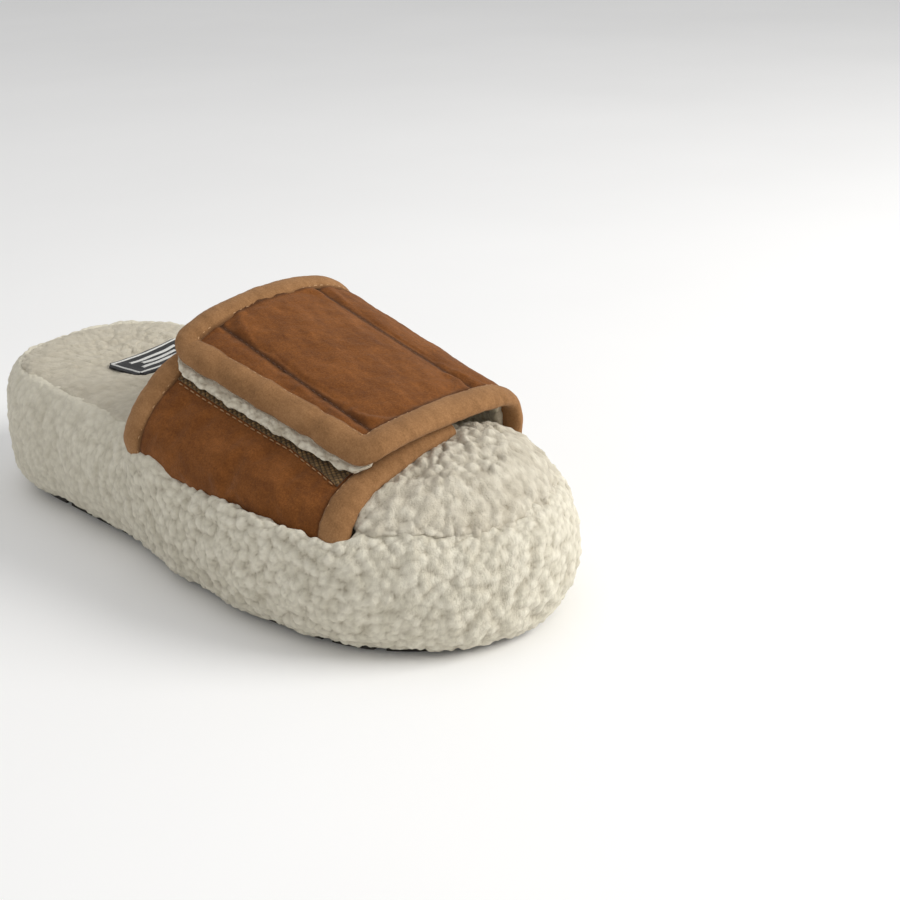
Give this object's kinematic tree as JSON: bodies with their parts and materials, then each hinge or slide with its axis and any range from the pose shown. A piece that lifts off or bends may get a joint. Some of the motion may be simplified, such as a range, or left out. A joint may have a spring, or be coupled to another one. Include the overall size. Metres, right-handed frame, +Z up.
{
  "type": "fluffy house slipper",
  "caption": "Open-toe house slipper with a curly-fleece platform sole and a padded suede strap that closes with hook and loop.",
  "frame": {"origin": "on the ground, under the middle of the platform's outline", "axes": "+Z up, +Y from the toe to the heel along the slipper, -X towards the outer (little-toe) side of a right foot"},
  "size_m": [0.123, 0.285, 0.1008],
  "materials": {
    "outsole_rubber": "matte",
    "eva_foam": "matte",
    "curly_fleece": "matte",
    "insole_board": "matte",
    "padding_foam": "matte",
    "footbed_fleece": "matte",
    "label": "satin",
    "label_border": "satin",
    "suede": "matte",
    "binding_suede": "matte",
    "lining_fleece": "matte",
    "loop_tape": "matte",
    "hook_tape": "satin",
    "thread": "satin"
  },
  "bodies": {
    "slipper": {"outsole": "outsole_rubber", "midsole": "eva_foam", "sidewall_fleece": "curly_fleece", "insole_board": "insole_board", "footbed_foam": "padding_foam", "footbed_fleece": "footbed_fleece", "woven_label": "label", "label_stitching": "label_border", "base_suede": "suede", "base_padding": "padding_foam", "base_lining": "lining_fleece", "base_front_binding": "binding_suede", "base_rear_binding": "binding_suede", "base_stitching": "thread", "loop_patch": "loop_tape", "loop_patch_stitching": "thread", "side_suede": "suede", "side_padding": "padding_foam", "side_lining": "lining_fleece", "side_front_binding": "binding_suede", "side_rear_binding": "binding_suede", "side_stitching": "thread", "side_channel_stitching": "thread"},
    "flap": {"flap_suede": "suede", "flap_padding": "padding_foam", "flap_lining": "lining_fleece", "flap_front_binding": "binding_suede", "flap_rear_binding": "binding_suede", "flap_stitching": "thread", "flap_channel_stitching": "thread", "hook_patch": "hook_tape"},
    "tip": {"tip_suede": "suede", "tip_padding": "padding_foam", "tip_lining": "lining_fleece", "tip_binding": "binding_suede", "tip_stitching": "thread"}
  },
  "joints": [
    {"name": "flap_lift", "type": "hinge", "parent": "slipper", "child": "flap", "pos_m": [0.02998, -0.04532, 0.08693], "axis": [-0.0213, 0.9651, 0.2611], "range_deg": [0, 110]},
    {"name": "tip_peel", "type": "hinge", "parent": "flap", "child": "tip", "pos_m": [-0.02045, -0.04526, 0.08507], "axis": [0.0069, 0.9705, 0.2411], "range_deg": [0, 75]}
  ]
}
